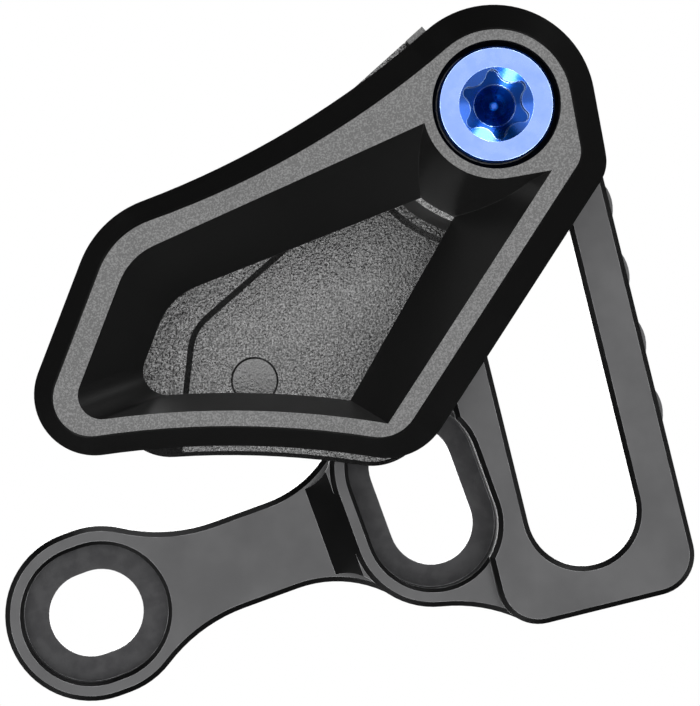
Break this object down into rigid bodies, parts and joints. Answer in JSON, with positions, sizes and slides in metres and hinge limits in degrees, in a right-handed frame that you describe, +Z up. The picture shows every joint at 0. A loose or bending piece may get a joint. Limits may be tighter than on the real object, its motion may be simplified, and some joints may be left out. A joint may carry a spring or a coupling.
{
  "type": "bicycle chain guide",
  "caption": "Two-bolt chain guide: slotted metal bracket with a height-adjustable moulded cage that keeps the chain on the chainring.",
  "frame": {"origin": "middle of the lower frame-bolt slot, on the face that meets the bicycle frame", "axes": "+Y into the bicycle, square to the mounting face; +X to the right and +Z up as seen from the drive side, in the pose of the picture"},
  "size_m": [0.0541, 0.0255, 0.054],
  "materials": {
    "black_anodised": "machined, satin black anodised",
    "inner_nylon": "moulded, coarse spark-eroded grain",
    "outer_nylon": "moulded, fine grain on the rim",
    "blue_anodised": "turned, bright blue anodised",
    "nut_anodised": "machined, black anodised"
  },
  "bodies": {
    "bracket": {"mount_plate": "black_anodised"},
    "cage": {"inner_cage": "inner_nylon", "outer_cage": "outer_nylon", "cage_bolt": "blue_anodised", "slider_nut": "nut_anodised"}
  },
  "joints": [
    {"name": "cage_height", "type": "slide", "parent": "bracket", "child": "cage", "axis": [0.2385, 0, -0.9711], "range_m": [0, 0.026]}
  ]
}
